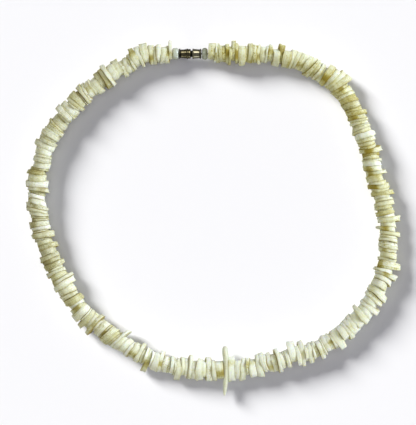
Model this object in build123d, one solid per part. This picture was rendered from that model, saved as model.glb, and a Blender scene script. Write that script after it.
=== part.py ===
from build123d import *
import math
import os
import random
from bisect import bisect
from dataclasses import dataclass, field
from typing import NamedTuple

# Puka shell necklace, fastened and lying flat in its closed loop. Sizes are in millimetres.
# +X is to the right, +Y goes up to the clasp, +Z is up from the surface that it lies on.
# The string runs level all the way round, and the shell chips hang on it edge to edge.

# String
string_diameter = 0.5
string_height = 4.0         # the longest chips reach down this far, to the surface
hole_clearance = 0.13       # all round the string, in the clasp and the glass beads
knot_diameter = 1.1

# Shell chips
chip_reach = 4.5            # usual distance from the string to a chip's rim
chip_rise = 4.6             # usual distance from the string up to the rim
usual_thickness = 1.6
thin_chip = 0.8
thick_chip = 2.7
chip_play = 0.45            # all round the string, in a chip's hole
chip_gap = 0.13             # between neighbours, where they come closest
chip_sides = 10
hole_sides = 6

# How unlike the chips are, as shares of the sizes above and as angles in degrees
outward_spread = (0.78, 1.12)
inward_spread = (0.74, 1.04)
rise_spread = (0.74, 1.12)
drop_spread = (0.80, 1.0)   # of the string's height
rim_roughness = 0.05
corner_shift = 9.0
squareness = (1.9, 2.7)     # 2 is an ellipse, more is squarer
lean_wobble = 3.5
nod_wobble = 11.0
face_mismatch = 1.6
taper_limit = 0.5           # of the thickness, over a chip's longest reach
thin_bias = 1.75            # more than 1 makes thin chips the more common ones

# Spike-shaped shell at the foot of the loop
spike_share = 0.4863        # its place along the loop, from the middle of the clasp
spike_outward = 11.8
spike_inward = 9.2
spike_width = 2.6
spike_height = 5.0
spike_rise = 0.9            # of its middle above the string
spike_guard = 5.0           # the chips beside it reach less far out than this

# Barrel screw clasp
clasp_place = (-0.1263, 0.8816)     # of its middle, as shares of the loop's reach
clasp_diameter = 4.2
socket_length = 5.1
stud_body_length = 3.9
neck_length = 0.7
neck_diameter = 2.8
end_wall = 0.8
stud_wall = 0.35
screw_clearance = 0.1

# Glass beads that guard the clasp
bead_gap = 0.18
left_bead_width = 2.65
left_bead_diameter = 4.9
left_bead_rounding = 0.85
right_bead_width = 2.45
right_bead_diameter = 5.1
right_bead_rounding = 1.15
right_slack = 0.6           # bare string between the right bead and its first chip

loop_reach = 76.0           # from the middle of the closed loop to its sides

# Corners that the string rounds, from the left of the clasp down, along and up to its right,
# as shares of the loop's reach
route_shares = [
    (-0.2579, 0.8816), (-0.3842, 0.8658), (-0.5921, 0.7632), (-0.7816, 0.5947),
    (-0.9329, 0.3921), (-0.9987, 0.1500), (-0.9697, -0.0974), (-0.8882, -0.3395),
    (-0.7539, -0.5513), (-0.5645, -0.7171), (-0.3461, -0.8447), (-0.1066, -0.8987),
    (0.1513, -0.8803), (0.4026, -0.8421), (0.6395, -0.7592), (0.8368, -0.6026),
    (0.9658, -0.3868), (0.9987, -0.1355), (0.9434, 0.1118), (0.8737, 0.3553),
    (0.7921, 0.5816), (0.6763, 0.7342), (0.5039, 0.8368), (0.3224, 0.8724),
    (0.1342, 0.8842), (0.0053, 0.8816),
]
arc_share = 0.45            # of the shorter run, taken up by the arc at a corner


class MarkedChip(NamedTuple):
    """A chip that stands out: its place, its reaches, its thickness and how far it leans."""

    share: float            # of the loop, from the middle of the clasp
    outward: float          # of the usual reach
    inward: float           # of the usual reach
    thickness: float        # of the usual thickness
    lean: float             # degrees, with the outer end further along


marked_chips = [
    MarkedChip(0.018, 1.50, 0.60, 0.60, -6),
    MarkedChip(0.022, 0.90, 1.05, 0.70, -8),
    MarkedChip(0.035, 1.10, 1.00, 1.05, -6),
    MarkedChip(0.041, 1.55, 0.60, 1.30, 0),
    MarkedChip(0.046, 1.30, 0.95, 0.95, 4),
    MarkedChip(0.050, 1.55, 0.65, 1.20, 0),
    MarkedChip(0.064, 0.65, 1.20, 1.05, 0),
    MarkedChip(0.077, 1.25, 1.25, 0.85, 3),
    MarkedChip(0.082, 1.05, 1.40, 1.20, -2),
    MarkedChip(0.092, 0.70, 1.15, 1.45, 0),
    MarkedChip(0.103, 1.10, 0.80, 1.05, -14),
    MarkedChip(0.109, 1.20, 1.05, 1.05, -6),
    MarkedChip(0.118, 1.10, 1.15, 0.85, 2),
    MarkedChip(0.134, 1.25, 0.80, 1.30, -8),
    MarkedChip(0.148, 1.00, 1.15, 1.30, -6),
    MarkedChip(0.166, 1.30, 0.95, 1.20, 0),
    MarkedChip(0.184, 0.65, 1.20, 1.60, 5),
    MarkedChip(0.202, 1.20, 1.20, 1.70, 0),
    MarkedChip(0.206, 0.90, 1.40, 0.80, -6),
    MarkedChip(0.222, 1.15, 1.15, 0.85, -24),
    MarkedChip(0.227, 1.25, 0.90, 1.05, -18),
    MarkedChip(0.240, 1.25, 0.95, 1.30, 0),
    MarkedChip(0.252, 1.15, 1.20, 1.05, -8),
    MarkedChip(0.262, 0.85, 1.35, 1.05, 0),
    MarkedChip(0.272, 1.30, 1.05, 1.05, 6),
    MarkedChip(0.278, 1.00, 1.30, 1.05, 0),
    MarkedChip(0.295, 0.95, 1.45, 1.05, 0),
    MarkedChip(0.302, 1.20, 1.30, 1.30, -5),
    MarkedChip(0.318, 1.05, 1.15, 1.30, -8),
    MarkedChip(0.329, 1.40, 0.80, 1.60, 0),
    MarkedChip(0.340, 1.40, 0.90, 1.05, 3),
    MarkedChip(0.345, 1.50, 1.15, 1.05, 0),
    MarkedChip(0.376, 0.90, 1.70, 0.80, -18),
    MarkedChip(0.394, 0.95, 1.20, 0.80, 0),
    MarkedChip(0.407, 1.70, 0.90, 0.85, 4),
    MarkedChip(0.415, 1.05, 1.30, 0.80, 0),
    MarkedChip(0.436, 1.55, 0.90, 0.95, 6),
    MarkedChip(0.445, 1.05, 1.35, 1.05, 0),
    MarkedChip(0.455, 1.10, 1.25, 1.20, 0),
    MarkedChip(0.461, 1.35, 1.15, 1.45, 0),
    MarkedChip(0.466, 1.30, 1.00, 0.95, 0),
    MarkedChip(0.480, 1.00, 1.00, 1.05, -2),
    MarkedChip(0.490, 1.40, 1.10, 1.60, -5),
    MarkedChip(0.496, 1.35, 0.70, 1.30, -8),
    MarkedChip(0.502, 1.70, 0.80, 1.20, -3),
    MarkedChip(0.510, 1.35, 0.60, 1.45, 0),
    MarkedChip(0.514, 1.50, 1.05, 1.30, 10),
    MarkedChip(0.520, 0.95, 1.20, 1.05, 10),
    MarkedChip(0.532, 1.35, 1.20, 1.05, 6),
    MarkedChip(0.547, 0.60, 1.70, 1.70, -2),
    MarkedChip(0.558, 1.50, 1.50, 1.05, -8),
    MarkedChip(0.566, 1.40, 0.95, 0.95, -5),
    MarkedChip(0.576, 1.35, 0.70, 1.05, 0),
    MarkedChip(0.591, 1.40, 0.85, 1.70, 0),
    MarkedChip(0.604, 1.40, 0.90, 1.05, 0),
    MarkedChip(0.610, 1.00, 1.20, 1.30, -8),
    MarkedChip(0.619, 1.00, 1.30, 1.05, -6),
    MarkedChip(0.633, 1.35, 1.00, 1.05, 0),
    MarkedChip(0.641, 1.25, 1.05, 1.05, -14),
    MarkedChip(0.646, 1.40, 1.10, 1.05, -12),
    MarkedChip(0.663, 1.65, 1.00, 1.05, -5),
    MarkedChip(0.669, 0.80, 1.20, 1.05, 4),
    MarkedChip(0.673, 1.65, 0.85, 1.45, 0),
    MarkedChip(0.707, 1.25, 0.90, 1.05, -12),
    MarkedChip(0.712, 0.80, 1.20, 0.80, -10),
    MarkedChip(0.719, 1.60, 1.00, 1.20, 0),
    MarkedChip(0.744, 1.40, 0.95, 1.05, -6),
    MarkedChip(0.752, 1.10, 1.20, 1.05, -8),
    MarkedChip(0.758, 0.60, 1.05, 1.45, 0),
    MarkedChip(0.764, 1.20, 1.00, 1.30, -12),
    MarkedChip(0.785, 1.50, 1.00, 1.20, -10),
    MarkedChip(0.801, 1.30, 0.90, 1.20, 0),
    MarkedChip(0.806, 0.90, 1.15, 1.20, 0),
    MarkedChip(0.822, 1.20, 0.85, 1.30, -12),
    MarkedChip(0.852, 1.75, 0.90, 1.30, -8),
    MarkedChip(0.858, 1.60, 1.00, 1.05, 0),
    MarkedChip(0.861, 1.45, 0.90, 0.85, 2),
    MarkedChip(0.865, 1.35, 1.10, 1.05, 4),
    MarkedChip(0.882, 1.10, 1.10, 1.20, -14),
    MarkedChip(0.911, 1.45, 0.60, 0.95, 3),
    MarkedChip(0.924, 1.30, 0.60, 1.05, 0),
    MarkedChip(0.949, 0.75, 1.20, 1.45, 0),
    MarkedChip(0.957, 1.30, 0.80, 0.95, -3),
    MarkedChip(0.960, 0.65, 1.40, 0.75, 0),
    MarkedChip(0.980, 1.15, 0.60, 1.05, -6),
]


class SpikeSection(NamedTuple):
    """One cross-section of the spike, with its centre and its size as shares of the spike's own."""

    along: float            # of its outward reach, or of its inward reach where negative
    shift: float            # of its width, along the string
    width: float
    height: float


spike_sections = [
    SpikeSection(-1.00, -0.03, 0.40, 0.35),
    SpikeSection(-0.92, -0.04, 0.81, 0.70),
    SpikeSection(-0.72, -0.06, 1.00, 0.95),
    SpikeSection(-0.37, -0.05, 0.95, 1.00),
    SpikeSection(0.00, -0.13, 0.80, 1.00),
    SpikeSection(0.40, -0.34, 0.80, 0.82),
    SpikeSection(0.70, -0.56, 0.72, 0.60),
    SpikeSection(0.90, -0.70, 0.50, 0.38),
    SpikeSection(1.00, -0.80, 0.16, 0.13),
]


class TurnedPoint(NamedTuple):
    """One corner of a turned outline, as shares of the length from the outer end and of the radius."""

    along: float
    radius: float


socket_outline = [
    TurnedPoint(0.00, 0.90), TurnedPoint(0.03, 0.98), TurnedPoint(0.11, 0.98), TurnedPoint(0.15, 0.82),
    TurnedPoint(0.28, 0.80), TurnedPoint(0.46, 0.85), TurnedPoint(0.63, 0.92), TurnedPoint(0.66, 1.00),
    TurnedPoint(0.76, 1.00), TurnedPoint(0.79, 0.94), TurnedPoint(0.97, 0.94), TurnedPoint(1.00, 0.88),
]
stud_outline = [
    TurnedPoint(0.00, 0.85), TurnedPoint(0.05, 0.97), TurnedPoint(0.15, 0.97), TurnedPoint(0.19, 0.86),
    TurnedPoint(0.79, 0.92), TurnedPoint(0.83, 1.00), TurnedPoint(0.97, 1.00), TurnedPoint(1.00, 0.92),
]


def across_loop(shares):
    """A place on the loop from its shares of the loop's reach."""
    return tuple(share * loop_reach for share in shares)


def turn_at(before, corner, after):
    """Angle in radians by which the route turns at a corner."""
    arriving = math.atan2(corner[1] - before[1], corner[0] - before[0])
    leaving = math.atan2(after[1] - corner[1], after[0] - corner[0])
    return abs(math.remainder(leaving - arriving, math.tau))


def arc_radii():
    """Radius at each corner: as large as the shorter of its two runs allows."""
    radii = []
    for k, corner in enumerate(route):
        before, after = route[k - 1], route[(k + 1) % len(route)]
        shorter = min(math.dist(before, corner), math.dist(corner, after))
        radii.append(arc_share * shorter / math.tan(turn_at(before, corner, after) / 2))
    return radii


def level(point):
    """A point of the route at the height of the string."""
    return (point[0], point[1], string_height)


route = [across_loop(shares) for shares in route_shares]
clasp_middle = across_loop(clasp_place)
clasp_length = socket_length + neck_length + stud_body_length
string_hole = string_diameter / 2 + hole_clearance
knot_room = knot_diameter + 2 * hole_clearance
stud_radius = knot_room / 2 + stud_wall

# Both knots lie against the end walls of the clasp, and the line between them is the string's
knot_reach = clasp_length / 2 - end_wall - knot_room / 2
knots = [level((clasp_middle[0] + side * knot_reach, clasp_middle[1])) for side in (-1, 1)]
line = FilletPolyline(knots[0], *map(level, route), knots[1], radius=arc_radii())
loop_length = line.length + 2 * knot_reach
spans = line.edges()
span_starts = [sum(edge.length for edge in spans[:k]) for k in range(len(spans))]


@dataclass
class Threaded:
    """What the string carries at one station, in that station's own frame.

    A station is a distance along the loop from the middle of the clasp.
    A rim point is (outward, up). A flat side is its place at the string and its two slopes: its
    lean, over the outward reach, and its nod, over the height. A side that isn't flat is None,
    and then `corners` holds the points (outward, up, ahead) that bound the piece.
    """

    back: tuple | None = None
    front: tuple | None = None
    rim: list = field(default_factory=list)
    corners: list = field(default_factory=list)
    station: float = 0.0

    def settle(self, station):
        """Moves the piece to a station and works out its bounding points there."""
        self.station = station
        distance = station - knot_reach
        k = max(0, bisect(span_starts, distance) - 1)
        distance -= span_starts[k]
        self.point = spans[k].position_at(distance, position_mode=PositionMode.LENGTH)
        self.along = spans[k].tangent_at(distance, position_mode=PositionMode.LENGTH)
        bounds = list(self.corners)
        for side in (self.back, self.front):
            if side is not None:
                bounds += [on_side(side, u, v) for u, v in self.rim]
        self.bounds = [self.to_place(*corner) for corner in bounds]

    def to_place(self, outward, up, ahead):
        """A point of the station's frame in the necklace's own."""
        return (self.point.X + self.along.Y * outward + self.along.X * ahead,
                self.point.Y - self.along.X * outward + self.along.Y * ahead,
                self.point.Z + up)

    def distances(self, side, points):
        """How far each point lies ahead of one of the piece's flat sides."""
        place, lean, nod = side
        size = math.sqrt(1 + lean * lean + nod * nod)
        normal = ((self.along.X - lean * self.along.Y) / size,
                  (self.along.Y + lean * self.along.X) / size, -nod / size)
        origin = self.to_place(0, 0, place)
        return [sum(n * (p - o) for n, p, o in zip(normal, point, origin)) for point in points]

    def plane(self, outward=0, up=0, ahead=0):
        """The plane across the string at a point of the frame, with its x axis along the string."""
        return Plane(origin=self.to_place(outward, up, ahead), x_dir=self.along, z_dir=(0, 0, 1))


def on_side(side, outward, up):
    """The point of a flat side at a reach outward and up from the string."""
    place, lean, nod = side
    return (outward, up, place + lean * outward + nod * up)


def apart(behind, ahead):
    """Clear distance between two pieces, by the better of the two sides that face each other."""
    clear = []
    if behind.front is not None:
        clear.append(min(behind.distances(behind.front, ahead.bounds)))
    if ahead.back is not None:
        clear.append(-max(ahead.distances(ahead.back, behind.bounds)))
    return max(clear)


def nearest_seat(piece, carried):
    """The station where a piece all but touches what the string carries behind it."""
    station = carried[-1].station + usual_thickness
    for _ in range(12):
        piece.settle(station)
        short = chip_gap - min(apart(other, piece) for other in carried[-3:])
        station += short
        if abs(short) < 0.0005:
            break
    return station


def leaning(station):
    """Lean in degrees at a station, shared out evenly between one marked chip and the next."""
    share = station / loop_length
    for before, after in zip(marked_chips, marked_chips[1:]):
        if before.share <= share < after.share:
            part = (share - before.share) / (after.share - before.share)
            return before.lean + part * (after.lean - before.lean)
    return 0.0


def slope(degrees):
    """Slope of a side that is turned by an angle in degrees."""
    return math.tan(math.radians(degrees))


def rough_rim(draw, outward, inward, rise, drop):
    """An uneven rounded outline with its own reach to each of the four sides of the string."""
    power = draw.uniform(*squareness)
    start = draw.uniform(0, 360 / chip_sides)
    rim = []
    for k in range(chip_sides):
        angle = math.radians(start + 360 * k / chip_sides + draw.uniform(-corner_shift, corner_shift))
        across, upright = math.cos(angle), math.sin(angle)
        share = abs(across / (outward if across > 0 else inward)) ** power
        share += abs(upright / (rise if upright > 0 else drop)) ** power
        reach = share ** (-1 / power) * (1 + draw.uniform(-rim_roughness, rim_roughness))
        rim.append((reach * across, max(reach * upright, -drop)))
    return rim


def turned_side(draw, from_slope, wanted, spread, most):
    """Slope of a chip's front: as wanted, give or take, but with a bounded taper from its back."""
    target = slope(wanted + draw.uniform(-spread, spread))
    return from_slope + max(-most, min(most, target - from_slope))


def new_chip(draw, station, mark, slopes):
    """A chip for the next place on the string, whose back lies nearly along the slopes given."""
    if mark is None:
        outward = chip_reach * draw.uniform(*outward_spread)
        inward = chip_reach * draw.uniform(*inward_spread)
        thickness = thin_chip + (thick_chip - thin_chip) * draw.random() ** thin_bias
    else:
        outward, inward = chip_reach * mark.outward, chip_reach * mark.inward
        thickness = usual_thickness * mark.thickness
    rise = chip_rise * draw.uniform(*rise_spread)
    drop = string_height * draw.uniform(*drop_spread)
    rim = rough_rim(draw, outward, inward, rise, drop)
    most = taper_limit * thickness / max(math.hypot(u, v) for u, v in rim)
    lean_back, nod_back = (s + slope(draw.uniform(-face_mismatch, face_mismatch)) for s in slopes)
    lean_front = turned_side(draw, lean_back, leaning(station), lean_wobble, most)
    nod_front = turned_side(draw, nod_back, 0, nod_wobble, most)
    return Threaded(back=(-thickness / 2, lean_back, nod_back),
                    front=(thickness / 2, lean_front, nod_front), rim=rim)


def fill_string(first, last, seed):
    """Chips from one piece on the string to another, with what is left over shared among them."""
    draw = random.Random(seed)
    marks = [m for m in marked_chips if first.station < m.share * loop_length < last.station]
    end = last.station
    carried = [first]
    slopes = (slope(leaning(first.station + usual_thickness)), 0.0)
    while True:
        station = carried[-1].station + usual_thickness
        reached = bool(marks) and station + usual_thickness / 2 >= marks[0].share * loop_length
        chip = new_chip(draw, station, marks.pop(0) if reached else None, slopes)
        chip.settle(nearest_seat(chip, carried))
        if nearest_seat(last, [*carried, chip]) > end:
            break
        carried.append(chip)
        slopes = chip.front[1:]
    for _ in range(5):
        spare = end - nearest_seat(last, carried)
        stretch = 1 + spare / sum(chip.front[0] - chip.back[0] for chip in carried[1:])
        for k, chip in enumerate(carried[1:], start=1):
            chip.back = (chip.back[0] * stretch, *chip.back[1:])
            chip.front = (chip.front[0] * stretch, *chip.front[1:])
            chip.settle(nearest_seat(chip, carried[:k]))
    last.settle(end)
    return carried[1:]


def chip_solid(chip):
    """A chip with its two flat sides, its faceted rim and a straight hole for the string."""
    hole_radius = (string_diameter / 2 + chip_play) / math.cos(math.pi / hole_sides)
    turns = [math.tau * k / hole_sides for k in range(hole_sides)]
    hole = [(hole_radius * math.cos(turn), hole_radius * math.sin(turn)) for turn in turns]
    rings = {}
    for name, outline in (("rim", chip.rim), ("hole", hole)):
        for side in (chip.back, chip.front):
            rings[name, side] = [chip.to_place(*on_side(side, u, v)) for u, v in outline]
    faces = [
        Face(Wire.make_polygon(rings["rim", side]), [Wire.make_polygon(rings["hole", side])])
        for side in (chip.back, chip.front)
    ]
    for name in ("rim", "hole"):
        back, front = rings[name, chip.back], rings[name, chip.front]
        for k in range(len(back)):
            faces.append(Face(Wire.make_polygon([back[k - 1], back[k], front[k], front[k - 1]])))
    return Solid(Shell(faces))


def spike_piece():
    """The spike as a thing on the string, bounded by the corners of its nearer sections."""
    corners = []
    for section in spike_sections:
        outward = section.along * (spike_outward if section.along > 0 else spike_inward)
        if outward > spike_guard:
            continue
        for side in (-0.5, 0.5):
            ahead = (section.shift + side * section.width) * spike_width
            corners += [(outward, spike_rise + up * section.height * spike_height, ahead)
                        for up in (-0.5, 0.5)]
    spike = Threaded(corners=corners)
    spike.settle(spike_share * loop_length)
    return spike


def spike_solid(spike):
    """A bent spike lofted through its oval sections and drilled for the string."""
    ovals = []
    out = (spike.along.Y, -spike.along.X, 0)
    for section in spike_sections:
        outward = section.along * (spike_outward if section.along > 0 else spike_inward)
        centre = spike.to_place(outward, spike_rise, section.shift * spike_width)
        across = Plane(origin=centre, x_dir=spike.along, z_dir=out)
        ovals.append(across * Ellipse(section.width * spike_width / 2, section.height * spike_height / 2))
    drill = Cylinder(string_diameter / 2 + chip_play, 3 * spike_width)
    return loft(ovals) - Plane(origin=spike.point, z_dir=spike.along) * drill


def bead_piece(station, width, diameter):
    """A glass bead as a thing on the string, bounded by a round rim."""
    turns = [math.tau * k / 16 for k in range(16)]
    rim = [(diameter / 2 * math.cos(turn), diameter / 2 * math.sin(turn)) for turn in turns]
    bead = Threaded(back=(-width / 2, 0.0, 0.0), front=(width / 2, 0.0, 0.0), rim=rim)
    bead.settle(station)
    return bead


def bead_solid(bead, width, diameter, rounding):
    """A round bead with softened rims and a straight hole."""
    hole_radius = string_diameter / 2 + hole_clearance
    wall = diameter / 2 - hole_radius
    profile = Pos(0, hole_radius + wall / 2) * Rectangle(width, wall)
    outer = profile.vertices().sort_by(Axis.Y)[-2:]
    profile = fillet(outer, min(rounding, 0.49 * width, 0.9 * wall))
    return bead.plane() * revolve(profile, Axis.X)


def turned(points):
    """A turned piece from the corners of its half section, with its axis along X."""
    return revolve(make_face(Polyline(*points, close=True)), Axis.X)


def socket_half():
    """The clasp's left half: a waisted barrel with a bore, and an end wall that stops a knot."""
    outer = [(p.along * socket_length, p.radius * clasp_diameter / 2) for p in socket_outline]
    bore = stud_radius + screw_clearance
    inner = [(socket_length, bore), (end_wall, bore), (end_wall, string_hole), (0, string_hole)]
    return Pos(clasp_middle[0] - clasp_length / 2, clasp_middle[1], string_height) * turned(outer + inner)


def stud_half():
    """The clasp's right half: a ringed barrel, a neck and a hollow stud that fills the bore."""
    outer = [(p.along * stud_body_length, p.radius * clasp_diameter / 2) for p in stud_outline]
    shoulder = stud_body_length + neck_length - screw_clearance
    tip = clasp_length - end_wall - knot_room
    neck = [(stud_body_length, neck_diameter / 2), (shoulder, neck_diameter / 2)]
    stud = [(shoulder, stud_radius), (tip, stud_radius), (tip, knot_room / 2)]
    inner = [(end_wall, knot_room / 2), (end_wall, string_hole), (0, string_hole)]
    half = turned(outer + neck + stud + inner)
    return Pos(clasp_middle[0] + clasp_length / 2, clasp_middle[1], string_height) * mirror(half, Plane.YZ)


def string_solid():
    """The string from the knot in one half of the clasp right round to the knot in the other."""
    section = Plane(origin=line @ 0, z_dir=line % 0) * Circle(string_diameter / 2)
    tube = sweep(section, path=line)
    expected = math.pi * string_diameter ** 2 / 4 * line.length
    print(f"string {line.length:.1f} mm, volume {tube.volume:.2f} against {expected:.2f}")
    for knot in knots:
        tube += Pos(*knot) * Sphere(knot_diameter / 2)
    return tube


left_bead = bead_piece(clasp_length / 2 + bead_gap + left_bead_width / 2,
                       left_bead_width, left_bead_diameter)
right_bead = bead_piece(loop_length - clasp_length / 2 - bead_gap - right_bead_width / 2,
                        right_bead_width, right_bead_diameter)
right_stop = bead_piece(right_bead.station - right_slack, right_bead_width, right_bead_diameter)
spike = spike_piece()
left_chips = fill_string(left_bead, spike, seed=7)
right_chips = fill_string(spike, right_stop, seed=19)

nodes = {
    "shell_chips_left": Compound([chip_solid(chip) for chip in left_chips]),
    "shell_chips_right": Compound([chip_solid(chip) for chip in right_chips]),
    "spike_shell": spike_solid(spike),
    "end_bead_left": bead_solid(left_bead, left_bead_width, left_bead_diameter, left_bead_rounding),
    "end_bead_right": bead_solid(right_bead, right_bead_width, right_bead_diameter,
                                 right_bead_rounding),
    "clasp_socket_half": socket_half(),
    "clasp_stud_half": stud_half(),
    "string": string_solid(),
}

# The necklace stands on Z = 0 with the middle of its outline at the origin
corners = [node.bounding_box() for node in nodes.values()]
low = [min(tuple(box.min)[k] for box in corners) for k in range(3)]
high = [max(tuple(box.max)[k] for box in corners) for k in range(3)]
to_origin = Pos(-(low[0] + high[0]) / 2, -(low[1] + high[1]) / 2, -low[2])

os.makedirs("parts", exist_ok=True)
for name, node in nodes.items():
    export_step(to_origin * node, f"parts/{name}.step")

print("arc radii", " ".join(f"{radius:.0f}" for radius in arc_radii()))
print(f"loop {loop_length:.1f} mm, chips {len(left_chips)} + {len(right_chips)}")
print("size", " x ".join(f"{b - a:.1f}" for a, b in zip(low, high)))
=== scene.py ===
"""Looks of a puka shell necklace: worn shell chips, a spike shell, glass end beads and a screw clasp.

Lengths are in metres, apart from those of the clasp, the beads and their outlines, which are in
millimetres. A chip is worked out from the flat sides, the rim and the hole of its own solid.
"""

import logging
import math
from abc import ABC, abstractmethod
from dataclasses import dataclass, field
from enum import Enum
from typing import Any, NamedTuple

import bpy
import numpy as np
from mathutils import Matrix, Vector


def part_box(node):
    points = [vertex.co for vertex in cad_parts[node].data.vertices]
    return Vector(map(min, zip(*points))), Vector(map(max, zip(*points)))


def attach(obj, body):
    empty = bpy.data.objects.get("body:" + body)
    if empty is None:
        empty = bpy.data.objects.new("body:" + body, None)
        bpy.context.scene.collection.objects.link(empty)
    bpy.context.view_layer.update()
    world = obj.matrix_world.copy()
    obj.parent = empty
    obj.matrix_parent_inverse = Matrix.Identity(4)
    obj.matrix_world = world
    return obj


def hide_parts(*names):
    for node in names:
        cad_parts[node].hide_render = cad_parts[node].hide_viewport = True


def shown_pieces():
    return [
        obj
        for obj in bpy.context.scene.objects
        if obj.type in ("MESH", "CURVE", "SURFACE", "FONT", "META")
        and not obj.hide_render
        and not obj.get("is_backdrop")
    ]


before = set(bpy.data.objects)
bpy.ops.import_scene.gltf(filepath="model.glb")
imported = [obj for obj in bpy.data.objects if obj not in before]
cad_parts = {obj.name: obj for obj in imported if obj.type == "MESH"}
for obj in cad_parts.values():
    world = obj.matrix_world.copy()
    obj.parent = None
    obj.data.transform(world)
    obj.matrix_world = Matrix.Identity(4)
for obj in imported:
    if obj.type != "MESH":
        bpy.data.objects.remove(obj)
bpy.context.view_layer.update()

log = logging.getLogger("necklace")

MM = 0.001
TAU = math.tau
Colour = tuple[float, float, float]
Outline = np.ndarray        # (n, 3) along and radius, in mm, and groove


def from_display(red: int, green: int, blue: int) -> Colour:
    """Linear colour of display values from 0 to 255: ((s + 0.055) / 1.055) ** 2.4, or s / 12.92."""
    shares = [value / 255 for value in (red, green, blue)]
    return tuple(s / 12.92 if s <= 0.04045 else ((s + 0.055) / 1.055) ** 2.4 for s in shares)


class Signal:
    """A number socket of a node tree, with the maths on it written as expressions."""

    def __init__(self, kit: "NodeKit", socket: bpy.types.NodeSocket) -> None:
        self.kit = kit
        self.socket = socket

    def __add__(self, other: "Signal | float") -> "Signal":
        """Sum of the two."""
        return self.kit.maths("ADD", self, other)

    def __sub__(self, other: "Signal | float") -> "Signal":
        """This less the other."""
        return self.kit.maths("SUBTRACT", self, other)

    def __rsub__(self, other: float) -> "Signal":
        """The other less this."""
        return self.kit.maths("SUBTRACT", other, self)

    def __mul__(self, other: "Signal | float") -> "Signal":
        """Product of the two."""
        return self.kit.maths("MULTIPLY", self, other)

    def __pow__(self, power: float) -> "Signal":
        """This raised to a power."""
        return self.kit.maths("POWER", self, power)

    __radd__, __rmul__ = __add__, __mul__

    def clamped(self) -> "Signal":
        """This kept from 0 to 1."""
        return self.kit.maths("ADD", self, 0.0, clamp=True)

    def sine(self) -> "Signal":
        """Sine of this, in radians."""
        return self.kit.maths("SINE", self, 0.0)

    def above(self, low: float, high: float) -> "Signal":
        """(this - low) / (high - low), kept from 0 to 1."""
        return ((self - low) * (1 / (high - low))).clamped()


class NodeKit:
    """Makes the nodes of one material, or of the surround."""

    def __init__(self, owner: bpy.types.Material | bpy.types.World) -> None:
        """Starts without nodes.

        Args:
            owner: What the nodes belong to.
        """
        owner.use_nodes = True
        self.tree = owner.node_tree
        self.tree.nodes.clear()

    def node(self, kind: str, inputs: dict[str | int, Any], **settings: Any) -> bpy.types.Node:
        """Makes one node.

        Args:
            kind: The node's type.
            inputs: Values, signals or sockets, by the name or number of the node's own socket.
            settings: Its settings, which are set first. Stops are a ramp's colours by their places.

        Returns:
            The node.
        """
        made = self.tree.nodes.new(kind)
        for key, value in settings.items():
            if key == "stops":
                self._fill(made.color_ramp.elements, value)
            else:
                setattr(made, key, value)
        for key, value in inputs.items():
            value = value.socket if isinstance(value, Signal) else value
            if isinstance(value, bpy.types.NodeSocket):
                self.tree.links.new(value, made.inputs[key])
            else:
                made.inputs[key].default_value = value
        return made

    @staticmethod
    def _fill(elements: bpy.types.ColorRampElements, stops: dict[float, Colour]) -> None:
        """Gives a ramp its stops.

        Args:
            elements: The ramp's elements.
            stops: Its colours, by their places.
        """
        while len(elements) < len(stops):
            elements.new(0.5)
        for element, (place, colour) in zip(elements, stops.items()):
            element.position = place
            element.color = (*colour, 1.0)

    def maths(self, operation: str, first: Signal | float, second: Signal | float,
              clamp: bool = False) -> Signal:
        """Result of one Math node on two numbers, kept from 0 to 1 if it is clamped."""
        made = self.node("ShaderNodeMath", {0: first, 1: second}, operation=operation, use_clamp=clamp)
        return Signal(self, made.outputs[0])

    def attribute(self, name: str) -> Signal:
        """The number that a piece's mesh stores under a name."""
        made = self.node("ShaderNodeAttribute", {}, attribute_type="GEOMETRY", attribute_name=name)
        return Signal(self, made.outputs["Fac"])

    def place(self) -> bpy.types.NodeSocket:
        """A point's place in the necklace's own frame."""
        return self.node("ShaderNodeTexCoord", {}).outputs["Object"]

    def axes(self) -> list[Signal]:
        """The x, y and z of a point's place."""
        split = self.node("ShaderNodeSeparateXYZ", {0: self.place()})
        return [Signal(self, axis) for axis in split.outputs]

    def noise(self, grain: float, detail: float = 2.0, warp: float = 0.0) -> Signal:
        """Soft noise about 0.5, whose spots are as large as grain, in finer layers and twisted."""
        inputs = {"Vector": self.place(), "Scale": 1 / grain, "Detail": detail, "Distortion": warp}
        return Signal(self, self.node("ShaderNodeTexNoise", inputs).outputs["Fac"])

    def blend(self, share: Signal | float, first: Any, second: Any) -> bpy.types.NodeSocket:
        """Mixes two colours.

        Args:
            share: How much there is of the second.
            first: A colour or its socket.
            second: A colour or its socket.

        Returns:
            The mixed colour.
        """
        colours = [(*c, 1.0) if isinstance(c, tuple) else c for c in (first, second)]
        inputs = {0: share, 6: colours[0], 7: colours[1]}
        return self.node("ShaderNodeMix", inputs, data_type="RGBA").outputs[2]

    def bump(self, height: Signal, depth: float, strength: float) -> bpy.types.NodeSocket:
        """The normal of a relief from 0 to 1, by its depth in metres and how much of it shows."""
        inputs = {"Height": height, "Distance": depth, "Strength": strength}
        return self.node("ShaderNodeBump", inputs).outputs[0]


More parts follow.
